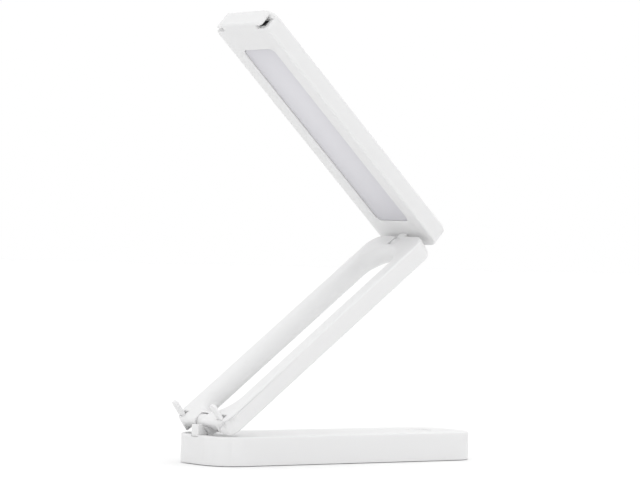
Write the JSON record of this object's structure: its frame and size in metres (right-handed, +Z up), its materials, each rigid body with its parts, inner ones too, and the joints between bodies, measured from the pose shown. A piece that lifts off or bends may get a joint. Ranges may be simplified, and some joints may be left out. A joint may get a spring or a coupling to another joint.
{
  "type": "folding led desk lamp",
  "caption": "Folding desk lamp of flat white bars: a weighted base, an open ring arm and a flat head with a long diffuser, joined by two friction hinges.",
  "frame": {"origin": "on the table, under the middle of the base", "axes": "+Z up, +X along the base from the lower hinge towards the charging inlet, +Y across the lamp along both hinge axes"},
  "size_m": [0.2024, 0.0506, 0.2675],
  "materials": {
    "white_shell": "satin",
    "pale_panel": "satin",
    "button": "satin with a soft sheen",
    "lens": "milky, matt",
    "light_box": "matt white",
    "led_board": "white lacquered circuit board",
    "led": "yellow resin, glossy",
    "circuit": "green lacquer",
    "switch": "matt black",
    "ballast": "plain cast",
    "cell": "laminated foil pouch",
    "contact": "plated sheet",
    "screw": "plated",
    "pin": "ground",
    "washer": "plain",
    "foot": "matt"
  },
  "bodies": {
    "base": {"base_shell": "white_shell", "base_plate": "pale_panel", "ballast": "ballast", "battery": "cell", "control_board": "circuit", "charge_socket": "contact", "key_switch": "switch", "feet": "foot", "base_screws": "screw", "base_post": "white_shell", "post_screws": "screw", "lower_pin": "pin", "lower_washers": "washer"},
    "button": {"power_button": "button"},
    "arm": {"arm_frame": "white_shell", "rail_covers": "pale_panel", "arm_screws": "screw", "latch_tabs": "white_shell"},
    "head": {"head_shell": "white_shell", "head_back": "pale_panel", "head_screws": "screw", "diffuser": "lens", "light_frame": "light_box", "led_board": "led_board", "leds": "led", "head_lug": "white_shell", "lug_screws": "screw", "upper_pin": "pin", "upper_washers": "washer"}
  },
  "joints": [
    {"name": "arm_hinge", "type": "hinge", "parent": "base", "child": "arm", "pos_m": [-0.0916, 0, 0.025], "axis": [0, -1, 0], "range_deg": [-36.7, 30]},
    {"name": "head_hinge", "type": "hinge", "parent": "arm", "child": "head", "pos_m": [0.05167, 0, 0.1303], "axis": [0, 1, 0], "range_deg": [-79, 8]},
    {"name": "button_press", "type": "slide", "parent": "base", "child": "button", "axis": [0, 0, -1], "range_m": [0, 0.0004], "stiffness_N_per_m": 400}
  ]
}
